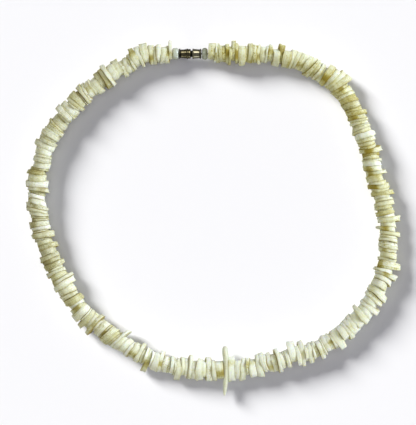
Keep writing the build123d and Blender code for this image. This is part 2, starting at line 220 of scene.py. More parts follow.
class Finish(ABC):
    """A surface of the necklace, which ends in one Principled shader."""

    def material(self, name: str) -> bpy.types.Material:
        """Makes the material.

        Args:
            name: The material's name.

        Returns:
            The material.
        """
        made = bpy.data.materials.new(name)
        kit = NodeKit(made)
        shader = kit.node("ShaderNodeBsdfPrincipled", self.inputs(kit))
        kit.node("ShaderNodeOutputMaterial", {"Surface": shader.outputs[0]})
        return made

    @abstractmethod
    def inputs(self, kit: NodeKit) -> dict[str, Any]:
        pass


@dataclass(frozen=True)
class ShellFinish(Finish):
    """Worn shell, from olive brown in its pits to a cool white where it is polished.

    The chips carry the numbers tone, fade, spot, stain, across, crevice and phase.
    """

    # Painted shade for the crevices between chips, brown with a warm tint of bounced light
    crevice_shade: Colour = from_display(158, 136, 50)
    brown: Colour = from_display(152, 138, 60)
    olive: Colour = from_display(194, 190, 130)
    cream: Colour = from_display(219, 222, 189)
    pale: Colour = from_display(232, 238, 222)
    white: Colour = from_display(243, 250, 244)
    layers: float = 2.2             # growth lines through a chip's thickness
    finer: float = 3.1              # fine lines to each growth line
    spot: float = 2.3 * MM
    wander: float = 0.9 * MM        # size of the bends of the lines, and of the pits
    vein: float = 2.6 * MM
    vein_edge: float = 3200.0       # thinner veins with more
    grain: float = 0.28 * MM
    relief: float = 0.11 * MM

    def inputs(self, kit: NodeKit) -> dict[str, Any]:
        """The shader's values and links.

        Args:
            kit: What makes the nodes.

        Returns:
            Them, by socket. The colour runs along a ramp with the chip's tone, its patches, its
            growth lines and its grain, less its pits, a painted shade towards its flat sides, its
            charted spots, some of its layers and its veins, which run where a noise is about 0.5.
            Faded chips keep less of their yellow and turn a little greener, and the crevices get a
            painted shade, brown with a warm tint of bounced light.
        """
        spots, grain = kit.noise(self.spot, 3.0, 0.5), kit.noise(self.grain, 3.0)
        wander = kit.noise(self.wander)
        names = ("tone", "spot", "crevice", "across", "phase", "stain", "fade")
        tone, spot, crevice, across, phase, stain, fade = (kit.attribute(name) for name in names)
        layers = ((across * self.layers + phase + wander * 0.7) * TAU).sine()
        fine = ((across * (self.finer * self.layers) + phase * 7.0 + wander * 1.1) * TAU).sine()
        lines = layers * 0.6 + fine * 0.4
        pits = kit.noise(self.wander, 2.0, 1.2).above(0.55, 0.66) * stain
        # Painted shade: the tone darkens towards the flat sides, where one chip meets the next
        edges = (across * 2.0 - 1.0) ** 2.0
        near = (kit.noise(self.vein, 3.0, 0.25) - 0.5) ** 2.0 * self.vein_edge
        veins = (1.0 - near).clamped() * (0.4 + spots)
        brown = (spot * 1.7 + (spots - 0.5) * 2.2 + (grain - 0.5) * 0.5).above(0.40, 1.45)
        strata = layers.above(0.60, 0.95) * (0.19 + stain * 0.30)
        tone = tone + (spots - 0.5) * 0.62 + lines * 0.13 + (grain - 0.5) * 0.07
        # Darker for the pits, the painted shade towards the flat sides, the brown spots, the veins and
        # the strata
        tone = tone - pits * 0.5 - edges * 0.12 - brown * 0.62 - veins * 0.20 - strata
        stops = {0.0: self.brown, 0.27: self.olive, 0.54: self.cream, 0.78: self.pale, 1.0: self.white}
        ramp = kit.node("ShaderNodeValToRGB", {0: tone.clamped()}, stops=stops)
        faded = kit.node("ShaderNodeHueSaturation", {
            "Hue": fade * 0.02 + 0.5, "Saturation": 1.08 - fade * 0.5, "Color": ramp.outputs[0]})
        # Painted crevice shade, broken up by the patches and laid over the colour last
        crevice = (crevice * (0.9 + (spots - 0.5) * 0.8)).clamped()
        relief = lines * 0.35 + grain * 0.25 + spots * 0.6 + wander * 0.8 - pits - veins * 0.3
        return {
            "Base Color": kit.blend(crevice, faded.outputs[0], self.crevice_shade),
            "Roughness": (0.38 + spots * 0.20 + grain * 0.08 + crevice * 0.25).clamped(),
            "Normal": kit.bump(relief, self.relief, 0.6),
            "Specular IOR Level": 0.35,
            "Subsurface Weight": 0.4,
            "Subsurface Radius": (1.0, 0.85, 0.45),
            "Subsurface Scale": 0.5 * MM,
            "Coat Weight": 0.10,
            "Coat Roughness": 0.25,
        }


@dataclass(frozen=True)
class SpikeFinish(Finish):
    """Polished shell, paler than the chips, with growth lines across the spike."""

    shade: Colour = from_display(212, 212, 176)
    body: Colour = from_display(230, 234, 212)
    white: Colour = from_display(240, 246, 232)
    ring: float = 1.1 * MM
    cloud: float = 2.0 * MM
    grain: float = 0.3 * MM
    relief: float = 0.06 * MM

    def inputs(self, kit: NodeKit) -> dict[str, Any]:
        """The shader's values and links.

        Args:
            kit: What makes the nodes.

        Returns:
            Them, by socket. The growth lines are sin(y / ring + noise), with y along the spike.
        """
        _, along, _ = kit.axes()
        wander, grain = kit.noise(self.cloud, 3.0), kit.noise(self.grain, 3.0)
        rings = (along * (TAU / self.ring) + wander * 9.0).sine() * 0.5 + 0.5
        tone = (wander * 1.1 + rings * 0.14 + (grain - 0.5) * 0.25 - 0.12).clamped()
        stops = {0.0: self.shade, 0.45: self.body, 1.0: self.white}
        return {
            "Base Color": kit.node("ShaderNodeValToRGB", {0: tone}, stops=stops).outputs[0],
            "Roughness": (0.26 + grain * 0.16).clamped(),
            "Normal": kit.bump(rings * 0.5 + grain * 0.4, self.relief, 0.5),
            "Specular IOR Level": 0.5,
            "Subsurface Weight": 0.5,
            "Subsurface Radius": (1.0, 0.9, 0.6),
            "Subsurface Scale": 0.8 * MM,
            "Coat Weight": 0.2,
            "Coat Roughness": 0.15,
        }


@dataclass(frozen=True)
class MilkGlass(Finish):
    """Milky glass, with a cloud of its own tint in it."""

    body: Colour
    cloud: Colour
    patch: float = 1.4 * MM
    grain: float = 0.2 * MM
    relief: float = 0.04 * MM

    def inputs(self, kit: NodeKit) -> dict[str, Any]:
        """The shader's values and links.

        Args:
            kit: What makes the nodes.

        Returns:
            Them, by socket. A small share of clear transmission shows the cord in the hole.
        """
        cloud, grain = kit.noise(self.patch, 3.0, 0.8), kit.noise(self.grain)
        return {
            "Base Color": kit.blend(cloud.above(0.35, 0.65), self.body, self.cloud),
            "Roughness": (0.12 + grain * 0.14).clamped(),
            "Normal": kit.bump(cloud * 0.7 + grain * 0.3, self.relief, 0.4),
            "Transmission Weight": 0.25,
            "IOR": 1.5,
            "Coat Weight": 0.5,
            "Coat Roughness": 0.08,
        }


@dataclass(frozen=True)
class PlatedMetal(Finish):
    """Aged pale plating, bright on its rings and dark with grime in its grooves.

    The turned pieces carry the number groove.
    """

    bright: Colour
    worn: Colour
    grime: Colour = from_display(38, 40, 22)
    patch: float = 1.1 * MM
    grain: float = 0.12 * MM
    relief: float = 0.02 * MM

    def inputs(self, kit: NodeKit) -> dict[str, Any]:
        """The shader's values and links.

        Args:
            kit: What makes the nodes.

        Returns:
            Them, by socket. The grime follows groove, with a ragged edge from noise.
        """
        patches, grain = kit.noise(self.patch), kit.noise(self.grain, 3.0)
        grime = (kit.attribute("groove") * 1.3 + (patches - 0.5) * 0.5).above(0.30, 1.0)
        metal = kit.blend(patches.above(0.35, 0.75), self.bright, self.worn)
        return {
            "Base Color": kit.blend(grime, metal, self.grime),
            "Metallic": (1.0 - grime * 0.5).clamped(),
            "Roughness": (0.10 + grain * 0.08 + grime * 0.35).clamped(),
            "Normal": kit.bump(grain * 0.6 + patches * 0.3 - grime * 0.4, self.relief, 0.25),
        }


@dataclass(frozen=True)
class CordFinish(Finish):
    """Waxed cord, brown olive, with its fibres twisted."""

    dark: Colour = from_display(78, 70, 30)
    light: Colour = from_display(132, 124, 68)
    pitch: float = 0.35 * MM
    fibre: float = 0.08 * MM
    relief: float = 0.05 * MM

    def inputs(self, kit: NodeKit) -> dict[str, Any]:
        """The shader's values and links.

        Args:
            kit: What makes the nodes.

        Returns:
            Them, by socket. The twist is sin((x + y + 2 z) / pitch), which winds round the cord.
        """
        x, y, z = kit.axes()
        twist = ((x + y + z * 2.0) * (TAU / self.pitch)).sine() * 0.5 + 0.5
        fibre = kit.noise(self.fibre, 3.0)
        strands = twist * 0.7 + fibre * 0.3
        return {
            "Base Color": kit.blend(strands.clamped(), self.dark, self.light),
            "Roughness": (0.55 + fibre * 0.3).clamped(),
            "Normal": kit.bump(strands, self.relief, 0.8),
        }


@dataclass(frozen=True)
class FloorFinish(Finish):
    """A plain pale studio floor."""

    colour: Colour = (0.82, 0.82, 0.82)

    def inputs(self, kit: NodeKit) -> dict[str, Any]:
        """The values of a matt, even surface."""
        return {"Base Color": (*self.colour, 1.0), "Roughness": 0.9, "Specular IOR Level": 0.0}


def placed(name: str, data: bpy.types.ID) -> bpy.types.Object:
    """Links an object to the scene.

    Args:
        name: Its name.
        data: Its mesh, light or camera.

    Returns:
        The object.
    """
    made = bpy.data.objects.new(name, data)
    bpy.context.scene.collection.objects.link(made)
    return made


def piece_from(name: str, vertices: np.ndarray, faces: np.ndarray, material: bpy.types.Material,
               numbers: dict[str, np.ndarray] | None = None, closed: bool = True) -> bpy.types.Object:
    """Makes a smooth shaded piece.

    Args:
        name: The piece's name.
        vertices: (n, 3) points, in metres.
        faces: (m, k) corners of the faces, k to each.
        material: What it is made of.
        numbers: One number for each vertex, by the name of the attribute.
        closed: Whether the mesh has an inside, which its faces then point away from.

    Returns:
        The piece. A closed mesh whose volume, the sum of a . (b x c) / 6 over its triangles, comes
        out negative has its faces turned round.
    """
    first, *rest = (vertices[faces[:, k]] for k in range(faces.shape[1]))
    volume = sum(np.einsum("ij,ij->", first, np.cross(b, c)) for b, c in zip(rest, rest[1:]))
    if closed and volume < 0:
        faces = faces[:, ::-1]
    mesh = bpy.data.meshes.new(name)
    mesh.vertices.add(len(vertices))
    mesh.vertices.foreach_set("co", vertices.astype(np.float32).ravel())
    mesh.loops.add(faces.size)
    mesh.loops.foreach_set("vertex_index", faces.astype(np.int32).ravel())
    mesh.polygons.add(len(faces))
    mesh.polygons.foreach_set("loop_start", np.arange(0, faces.size, faces.shape[1], dtype=np.int32))
    mesh.polygons.foreach_set("use_smooth", np.ones(len(faces), bool))
    for key, values in (numbers or {}).items():
        stored = mesh.attributes.new(key, "FLOAT", "POINT")
        stored.data.foreach_set("value", values.astype(np.float32).ravel())
    mesh.update(calc_edges=True)
    mesh.validate()
    mesh.materials.append(material)
    log.info("%s: %d faces", name, len(faces))
    return placed(name, mesh)


def ring_quads(pieces: int, around: int, across: int) -> np.ndarray:
    """Faces of ring-shaped grids that close both ways.

    Args:
        pieces: How many grids there are.
        around: Points the one way.
        across: Points the other way.

    Returns:
        (pieces * around * across, 4) corners: each point, its neighbour around, the one beyond
        both and its neighbour across.
    """
    index = np.arange(pieces * around * across).reshape(pieces, around, across)
    ahead, beside = np.roll(index, -1, axis=1), np.roll(index, -1, axis=2)
    return np.stack([index, ahead, np.roll(ahead, -1, axis=2), beside], axis=-1).reshape(-1, 4)


def replace(piece: bpy.types.Object, node: str) -> None:
    """Lets a piece ride on the root and stand for a solid's node.

    Args:
        piece: The piece.
        node: The node's name.
    """
    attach(piece, "root")
    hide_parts(node)


def dress(node: str, material: bpy.types.Material) -> None:
    """Gives a node that keeps its own solid its finish.

    Args:
        node: The node's name.
        material: What it is made of.
    """
    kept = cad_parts[node]
    kept.data.materials.clear()
    kept.data.materials.append(material)
    log.info("%s: its own solid, dressed", node)


def welded(node: str, apart: float = 0.002 * MM) -> tuple[np.ndarray, np.ndarray]:
    """Welds the loose triangles of a node, in a copy of its points.

    Args:
        node: The node's name.
        apart: How far apart two places are at least.

    Returns:
        (n, 3) points, each place kept once, and (m, 3) corners of the triangles.
    """
    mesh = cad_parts[node].data
    raw = np.zeros(len(mesh.vertices) * 3, np.float32)
    mesh.vertices.foreach_get("co", raw)
    mesh.calc_loop_triangles()
    corners = np.zeros(len(mesh.loop_triangles) * 3, np.int32)
    mesh.loop_triangles.foreach_get("vertices", corners)
    places = np.round(raw.reshape(-1, 3) / apart).astype(np.int64)
    _, first, same = np.unique(places, axis=0, return_index=True, return_inverse=True)
    return raw.reshape(-1, 3)[first].astype(float), same.ravel()[corners].reshape(-1, 3)


def from_top(points: np.ndarray) -> np.ndarray:
    """Turn of each point from the top of the loop, down its left side and on, in radians."""
    return np.arctan2(-points[:, 0], points[:, 1]) % TAU


def dots(first: np.ndarray, second: np.ndarray) -> np.ndarray:
    """Dot products along the last axis."""
    return (first * second).sum(axis=-1)


@dataclass
class ChipSolids:
    """Where the chips of a node are, read from its faceted solids.

    A chip is the stretch of a straight prism between two slanted flat sides. Its frame has the
    string's direction ahead, the horizontal outward direction and the vertical one.
    """

    node: str
    hole_corners: int = 6
    alike: float = 0.9999               # cosine between the triangles of one flat side
    side_triangles: int = 10            # fewer than a flat side has

    def read(self) -> None:
        """Works out each chip's frame, rim and flat sides from the node's triangles.

        The triangles are welded and split into solids, in their order from the clasp. Those of a
        solid that share their direction with many others are its two flat sides, and what is left
        are walls along the string.
        """
        points, triangles = welded(self.node)
        owner = self._owners(len(points), triangles)
        order = np.argsort(owner[triangles[:, 0]], kind="stable")
        self.count = len(np.unique(owner))
        triangles = triangles[order].reshape(self.count, -1, 3)
        clasp = from_top(np.array([sum(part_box("clasp_socket_half"), Vector()) / 2]))
        triangles = triangles[np.argsort((from_top(points[triangles].mean(axis=(1, 2))) - clasp) % TAU)]
        corner = points[triangles]
        areas = np.cross(corner[:, :, 1] - corner[:, :, 0], corner[:, :, 2] - corner[:, :, 0])
        facing = areas / np.linalg.norm(areas, axis=-1, keepdims=True)
        same = np.einsum("nik,njk->nij", facing, facing) > self.alike
        flat = same.sum(axis=2) > self.side_triangles
        walls = np.where(flat[..., None], 0.0, areas)
        self.ahead = np.linalg.eigh(np.einsum("nik,nij->nkj", walls, walls))[1][:, :, 0]
        middle = corner.mean(axis=(1, 2))
        around = np.stack([-middle[:, 1], middle[:, 0]], axis=1)
        self.ahead *= np.sign(dots(self.ahead[:, :2], around))[:, None]
        self.outward = np.stack([self.ahead[:, 1], -self.ahead[:, 0], np.zeros(self.count)], axis=1)
        self.outward /= np.linalg.norm(self.outward, axis=1, keepdims=True)
        self.upward = np.cross(self.outward, self.ahead)
        self.upward *= np.sign(self.upward[:, 2:])
        forward = dots(facing, self.ahead[:, None]) > 0
        sides = [self._side(triangles, corner, areas, flat & mask) for mask in (~forward, forward)]
        own = np.stack([np.concatenate([ids[k] for ids, _, _ in sides]) for k in range(self.count)])
        self._measure(points, own, sides)

    @staticmethod
    def _owners(count: int, triangles: np.ndarray) -> np.ndarray:
        """Lowest vertex number of each vertex's own solid, spread along its triangles.

        Args:
            count: How many vertices there are.
            triangles: (m, 3) corners.

        Returns:
            (count,) vertex numbers.
        """
        owner = np.arange(count)
        while True:
            lowest = owner[triangles].min(axis=1)
            spread = owner.copy()
            np.minimum.at(spread, triangles.ravel(), np.repeat(lowest, 3))
            spread = spread[spread]
            if np.array_equal(spread, owner):
                return owner
            owner = spread

    def _side(self, triangles: np.ndarray, corner: np.ndarray, areas: np.ndarray,
              mask: np.ndarray) -> tuple[np.ndarray, np.ndarray, np.ndarray]:
        """One flat side of every chip.

        Args:
            triangles: (n, t, 3) corner numbers.
            corner: (n, t, 3, 3) corner places.
            areas: (n, t, 3) area vectors.
            mask: (n, t) which triangles are on this side.

        Returns:
            (n, c) numbers of the side's own vertices, (n, 3) its unit normal and (n, 3) a point on it.
        """
        total = np.where(mask[..., None], areas, 0.0).sum(axis=1)
        normal = total / np.linalg.norm(total, axis=1, keepdims=True)
        point = np.stack([corner[k, mask[k]].reshape(-1, 3).mean(axis=0) for k in range(self.count)])
        ids = np.stack([np.unique(triangles[k, mask[k]]) for k in range(self.count)])
        return ids, normal, point

    def _measure(self, points: np.ndarray, own: np.ndarray,
                 sides: list[tuple[np.ndarray, np.ndarray, np.ndarray]]) -> None:
        """Finds each chip's hole, its centre, its rim and the slopes of its sides.

        The hole's corners are those that lie closest to one another. A side's place ahead at
        (outward u, upward v) is place + lean u + nod v.

        Args:
            points: Every welded vertex.
            own: (n, c) numbers of each chip's vertices.
            sides: The back and the front side, as _side gives them.
        """
        def picked(values: np.ndarray, rows: np.ndarray) -> np.ndarray:
            """Each chip's own rows of the values."""
            return np.take_along_axis(values, rows[..., None], axis=1)

        rough = points[own].mean(axis=1)
        local = points[sides[1][0]] - rough[:, None]
        flat = np.stack([dots(local, self.outward[:, None]), dots(local, self.upward[:, None])], axis=-1)
        apart = np.linalg.norm(flat[:, :, None] - flat[:, None], axis=-1)
        close = np.sort(apart, axis=2)[:, :, 1:self.hole_corners].sum(axis=2)
        order = np.argsort(close, axis=1)
        hole = picked(flat, order[:, :self.hole_corners])
        centre = hole.mean(axis=1)
        reach = np.linalg.norm(hole - centre[:, None], axis=-1).mean(axis=1)
        self.hole = reach * math.cos(math.pi / self.hole_corners)
        self.centre = rough + self.outward * centre[:, :1] + self.upward * centre[:, 1:]
        corners = picked(flat, order[:, self.hole_corners:]) - centre[:, None]
        self.rim = picked(corners, np.argsort(np.arctan2(corners[..., 1], corners[..., 0]), axis=1))
        self.planes = []
        for _, normal, point in sides:
            lean, nod = -dots(normal, self.outward), -dots(normal, self.upward)
            terms = np.stack([dots(normal, point - self.centre), lean, nod], axis=1)
            self.planes.append(terms / dots(normal, self.ahead)[:, None])

    def reach(self, turns: np.ndarray) -> np.ndarray:
        """How far each chip's rim lies from its string.

        Args:
            turns: (k,) angles from the outward direction, in radians.

        Returns:
            (n, k) distances, where the ray at an angle crosses an edge of the rim:
            cross(p, e) / cross(d, e) for the corner p, the edge e and the direction d.
        """
        corner = self.rim[:, None]
        edge = np.roll(self.rim, -1, axis=1)[:, None] - corner
        ray = np.stack([np.cos(turns), np.sin(turns)], axis=1)[None, :, None]
        cross = ray[..., 0] * edge[..., 1] - ray[..., 1] * edge[..., 0]
        far = (corner[..., 0] * edge[..., 1] - corner[..., 1] * edge[..., 0]) / cross
        part = (corner[..., 0] * ray[..., 1] - corner[..., 1] * ray[..., 0]) / cross
        met = (far > 0) & (part >= -1e-6) & (part <= 1 + 1e-6)
        return np.where(met, far, np.inf).min(axis=2)


class Stretch(Enum):
    """The two stretches of chips.

    A row gives the node, the seed of the wear, and how far the first and the last side move out to
    meet the piece beyond them, in metres.
    """

    LEFT = ("shell_chips_left", 41, 0.0, 0.75 * MM)
    RIGHT = ("shell_chips_right", 57, 0.40 * MM, 0.75 * MM)


class Stain(NamedTuple):
    """A brown spot on the chips of the loop, charted one by one."""

    turn: float         # degrees from the top, down the left side and on
    outward: float      # along the rim, from -1 at its inner end to 1 at its outer end
    depth: float        # from 0 to 1


STAINS = [Stain(*row) for row in (
    (15.5, 0.0, 0.9), (21.7, -0.3, 0.8), (26.0, 0.7, 0.8), (43.9, 0.1, 0.7), (48.4, 0.6, 0.7),
    (75.0, 0.3, 1.0), (81.3, -0.5, 0.7), (84.8, 0.8, 0.8), (86.4, 0.2, 0.6), (91.6, 0.7, 0.7),
    (104.9, 0.5, 1.0), (106.9, 0.5, 0.6), (112.7, 0.8, 0.7), (123.9, 0.2, 0.9), (131.4, 0.2, 0.6),
    (136.8, 0.2, 0.9), (150.0, 0.4, 0.6), (154.4, 0.5, 0.8), (159.6, 0.1, 1.0), (182.4, 0.5, 1.0),
    (187.4, -0.5, 0.7), (193.8, -0.3, 0.7), (200.8, 0.5, 0.9), (218.5, 0.3, 0.6), (222.1, 0.1, 0.8),
    (230.6, 0.0, 0.6), (244.8, -0.6, 0.6), (250.8, 0.1, 0.9), (253.7, -0.8, 0.8), (259.2, -0.5, 0.8),
    (266.6, -0.3, 0.9), (280.5, -0.6, 0.8), (286.3, -0.6, 0.8), (293.1, -0.1, 1.0), (304.6, -0.4, 0.7),
    (315.1, 0.0, 0.8), (321.2, -0.3, 0.7), (330.1, -0.4, 0.6), (336.8, 0.6, 0.8), (341.0, 0.5, 0.8),
    # The spot at 359.7 darkens the first chip right of the clasp, beside the bead
    (344.6, -0.3, 0.9), (352.4, -0.2, 1.0), (355.9, 0.0, 0.8), (359.7, -0.3, 1.0),
)]

# Degrees from the top, down the left side and on, of chips that are paler than those beside them
PALE_CHIPS = [14.4, 68.8, 72.6, 79.3, 84.3, 88.8, 93.0, 121.8, 135.7, 160.6]


class PaleEnds(NamedTuple):
    """A part of the loop where the chips' inner or outer ends are paler."""

    towards: tuple[float, float, float]     # from the middle of the loop
    outer: int                              # 1 for the outer ends, -1 for the inner ones
    gain: float


# Painted light: the first part lightens the inner ends at the lower right, which face away from the key
# light
PALE_ENDS = [PaleEnds((0.5, -0.87, 0.0), -1, 0.195), PaleEnds((0.6, 0.8, 0.0), 1, 0.15)]


@dataclass(frozen=True)
class Seams:
    """The shared bent sides between one chip and the next, so that neighbours fit together.

    Each seam has its own dome and its own ripples along the outward and the vertical direction.
    """

    dome: np.ndarray
    ripples: np.ndarray         # (n, 2) sizes
    waves: np.ndarray           # (n, 2) turns per metre
    starts: np.ndarray          # (n, 2) angles
    size: np.ndarray            # (n,) how far a seam may bend
    across: float = 4.5 * MM    # where a dome has its size

    @staticmethod
    def drawn(draw: np.random.Generator, size: np.ndarray) -> "Seams":
        """Draws the bends at random.

        Args:
            draw: Where they come from.
            size: (n,) how far each seam may bend, in metres.

        Returns:
            The seams.
        """
        count = len(size)
        return Seams(draw.normal(0, 0.5, count), draw.uniform(0.1, 0.5, (count, 2)),
                     draw.uniform(110, 260, (count, 2)), draw.uniform(0, TAU, (count, 2)), size)

    def bend(self, outward: np.ndarray, upward: np.ndarray) -> np.ndarray:
        """How far ahead of its flat place each seam is.

        Args:
            outward: (n, k) places, in metres.
            upward: (n, k) places, in metres.

        Returns:
            size (dome ((d / across)^2 - 0.4) + the two ripples sin(turns place + start)), kept
            within size.
        """
        total = self.dome[:, None] * ((outward ** 2 + upward ** 2) / self.across ** 2 - 0.4)
        for axis, place in enumerate((outward, upward)):
            turns = TAU * self.waves[:, axis, None] * place + self.starts[:, axis, None]
            total = total + self.ripples[:, axis, None] * np.sin(turns)
        return self.size[:, None] * np.clip(total, -1, 1)


class Wear(NamedTuple):
    """The wear of n chips' rims, at k turns round them."""

    reaches: list[np.ndarray]   # (n, k) at the back and at the front side
    edge: np.ndarray            # (n, k) width of the softened edge
    longer: np.ndarray          # (n, k) how many times longer than wide the edge is
    open_seams: np.ndarray      # (n + 1, 1) how open each seam is, from 0 to 1


@dataclass
class ChipStrand:
    """One stretch of worn shell chips, each within a hair of its own solid.

    The chips' solids stay clear of one another. Here neighbours close up to the seam between them,
    and each rim is given its wear: softened edges, a slope along the string and chipped spots.
    """

    stretch: Stretch
    around: int = 24                    # points round a chip
    fine: int = 96                      # points round the sharp rim that is rounded
    rounding_turn: float = math.radians(6)
    notch: float = 0.022                # how much of a rim's reach its waves take off
    slope: float = 0.055                # of a rim's reach, from one side to the other
    slope_limit: float = 1.6            # of slope
    slope_gain: float = 0.25            # of a chip's slope, by which its longer side grows
    edge: float = 0.11 * MM
    edge_steps: int = 2
    edge_limits: tuple[float, float] = (0.05, 0.35)     # of a chip's thickness
    edge_closed: float = 0.25           # of the edge, at a closed seam
    edge_opened: float = 1.3            # of the edge, more at an open seam
    end_wear: float = 0.6               # how much softer the edge is at a chip's two ends
    end_loss: float = 0.11              # how much of a rim's reach its ends may have lost
    end_point: float = 0.6              # how much longer than wide the edge of an end may be
    end_slant: float = 0.6              # how much of its slant the first and the last side keep
    belly: float = 0.02                 # how far a rim bulges or hollows in its middle, of its reach
    belly_limits: tuple[float, float] = (-0.05, 0.012)
    full_belly: float = 1.6 * MM        # thickness of a chip with all of its belly
    bend: float = 0.34 * MM
    bend_limit: float = 0.24            # of the thinner neighbour's thickness
    seam: float = 0.025 * MM
    closing: float = 0.30 * MM
    loop: float = 70 * MM               # about the loop's radius
    tone: float = 0.613                 # the usual tone at the middle of the loop's height
    pale_gain: float = 0.17             # of the charted pale chips
    pale_from: float = 42 * MM          # distance towards PALE_ENDS where they start
    pale_over: float = 28 * MM          # and over which they turn pale
    fading: float = 0.75                # at the loop's left
    spot_width: float = 0.45            # of a chip's half length
    spot_past: float = 0.4              # degrees that a charted mark reaches past its first chip
    chart_reach: float = 1.5            # degrees from a charted mark to a chip of this stretch
    finish: ShellFinish = field(default_factory=ShellFinish)

    def outline(self, solids: ChipSolids, turns: np.ndarray) -> np.ndarray:
        """Rounded reach of each chip's rim.

        Args:
            solids: The chips.
            turns: (k,) angles, in radians.

        Returns:
            (n, k) distances: the straight-edged rim's, averaged over a bell of rounding_turn.
        """
        fine = np.arange(self.fine) * TAU / self.fine
        gap = np.angle(np.exp(1j * (turns[:, None] - fine[None])))
        bell = np.exp(-0.5 * (gap / self.rounding_turn) ** 2)
        return solids.reach(fine) @ (bell / bell.sum(axis=1, keepdims=True)).T

    @staticmethod
    def waves(draw: np.random.Generator, count: int, turns: np.ndarray, highest: int) -> np.ndarray:
        """A smooth random wave round each chip.

        Args:
            draw: Where its amplitudes come from.
            count: How many chips there are.
            turns: (k,) angles, in radians.
            highest: How many times the finest wave goes round.

        Returns:
            (count, k) sums of a cos(m turn + b) for m from 1 to highest, about 1 at most.
        """
        orders = np.arange(1, highest + 1)[None, :, None]
        size = draw.normal(0, 0.45, (count, highest, 1)) / np.sqrt(orders)
        start = draw.uniform(0, TAU, (count, highest, 1))
        return (size * np.cos(orders * turns + start)).sum(axis=1)

    def past(self, solids: ChipSolids, marks: np.ndarray) -> np.ndarray:
        """How much further from each charted mark a chip lies than the chip nearest to it.

        Args:
            solids: The chips.
            marks: (m,) degrees from the top, down the left side and on.

        Returns:
            (m, n) degrees, without end for a mark that is on the other stretch.
        """
        away = np.abs(marks[:, None] - np.degrees(from_top(solids.centre)))
        nearest = away.min(axis=1, keepdims=True)
        return np.where(nearest < self.chart_reach, away - nearest, np.inf)

    def tones(self, draw: np.random.Generator,
              solids: ChipSolids) -> tuple[np.ndarray, np.ndarray, np.ndarray]:
        """How pale each chip is, how much its pits are stained and how far its yellow has faded.

        Args:
            draw: Where the differences come from.
            solids: The chips.

        Returns:
            (n,) tones, (n,) stains and (n,) fades, all from 0 to 1. The foot of the loop is its palest
            part, its left side has faded most, and chips that lie side by side are partly alike.
        """
        right, height, _ = (solids.centre / self.loop).T
        own, shared = draw.normal(0, 1, (2, solids.count))
        tone = self.tone + 0.06 * right - 0.145 * height + 0.17 * height ** 2 - 0.20 * height * right
        tone += 0.10 * own + 0.075 * np.convolve(shared, [0.25, 0.5, 0.5, 0.5, 0.25], "same")
        tone += self.pale_gain * (self.past(solids, np.array(PALE_CHIPS)) < self.spot_past).any(axis=0)
        stain = draw.random(solids.count) ** 3
        fade = 0.05 + self.fading * np.clip(-right, 0, 1.1) + draw.normal(0, 0.15, solids.count)
        return np.clip(tone, 0.10, 0.95), stain, np.clip(fade, 0, 1)

    def spots(self, solids: ChipSolids, turns: np.ndarray) -> np.ndarray:
        """The charted stains, each on the chip that is nearest to its place.

        Args:
            solids: The chips.
            turns: (k,) angles round a chip, in radians.

        Returns:
            (n, k) sums of depth exp(-((cos t - outward) / spot_width)^2) exp(-(past / spot_past)^2).
        """
        turn, outward, depth = np.array(STAINS).T
        along = depth[:, None] * np.exp(-(self.past(solids, turn) / self.spot_past) ** 2)
        return along.T @ np.exp(-((np.cos(turns) - outward[:, None]) / self.spot_width) ** 2)

    def sides(self, solids: ChipSolids, seams: Seams, outward: np.ndarray,
              upward: np.ndarray) -> list[np.ndarray]:
        """Where the two bent sides of each chip are, at places of its frame.

        Args:
            solids: The chips, in their order on the string.
            seams: The bends of the sides between them.
            outward: (n, k) places.
            upward: (n, k) places.

        Returns:
            (n, k) places ahead of the back side and of the front side. The flat sides are at
            place + lean u + nod v, where the two ends of the stretch keep only end_slant of their
            lean and nod. Half of the gap to the neighbour, less half a seam, is added to each, and
            the seam's bend to both.
        """
        kept = np.ones((2, solids.count, 1))
        kept[0, 0] = kept[1, -1] = self.end_slant
        back, front = (plane[:, :1] + share * (plane[:, 1:2] * outward + plane[:, 2:] * upward)
                       for plane, share in zip(solids.planes, kept))
        step = dots(np.diff(solids.centre, axis=0), (solids.ahead[1:] + solids.ahead[:-1]) / 2)
        turn = np.cross(solids.ahead[:-1], solids.ahead[1:])[:, 2]
        gaps = solids.planes[0][1:] - solids.planes[1][:-1]
        gaps = gaps + np.stack([step, turn, np.zeros(len(turn))], axis=1)
        clear, lean, nod = gaps.T[:, :, None]

        def closed(u: np.ndarray, v: np.ndarray) -> np.ndarray:
            """How far each of a pair of neighbours moves to close up at a place."""
            return np.clip((clear + lean * u + nod * v - self.seam) / 2, 0, self.closing)

        _, _, first_gain, last_gain = self.stretch.value
        back[0] -= first_gain
        front[-1] += last_gain
        back[1:] += seams.bend(outward[1:], upward[1:]) - closed(outward[1:], upward[1:])
        front[:-1] += seams.bend(outward[:-1], upward[:-1]) + closed(outward[:-1], upward[:-1])
        return [back, front]

    def wear(self, draw: np.random.Generator, solids: ChipSolids, turns: np.ndarray) -> Wear:
        """The wear of each chip's rim and of its edges.

        Args:
            draw: Where the wear comes from.
            solids: The chips.
            turns: (k,) angles round a chip, in radians.

        Returns:
            The wear. The ends lose up to end_loss of their reach, and their edges are softer and
            more pointed.
        """
        count, end = solids.count, np.abs(np.cos(turns))
        rim = self.outline(solids, turns) * (1 - self.notch * np.abs(self.waves(draw, count, turns, 6)))
        for lost, side in zip(self.end_loss * draw.random((2, count, 1)) ** 2, (1, -1)):
            rim *= 1 - lost * np.clip(side * np.cos(turns), 0, 1) ** 2
        slope = self.slope * (draw.uniform(-1, 1, (count, 1)) + 0.5 * self.waves(draw, count, turns, 3))
        slope = np.clip(slope, -self.slope_limit * self.slope, self.slope_limit * self.slope)
        gained = self.slope_gain * slope
        reaches = [rim * (1 + np.minimum(slope, gained)), rim * (1 - np.maximum(slope, gained))]
        edge = self.edge * draw.uniform(0.5, 1.9, (count, 1))
        edge = edge * (1 + 0.4 * self.waves(draw, count, turns, 4)) * (1 + self.end_wear * end ** 5)
        longer = 1 + self.end_point * draw.random((count, 1)) * end ** 3
        return Wear(reaches, edge, longer, draw.random((count + 1, 1)) ** 1.4)

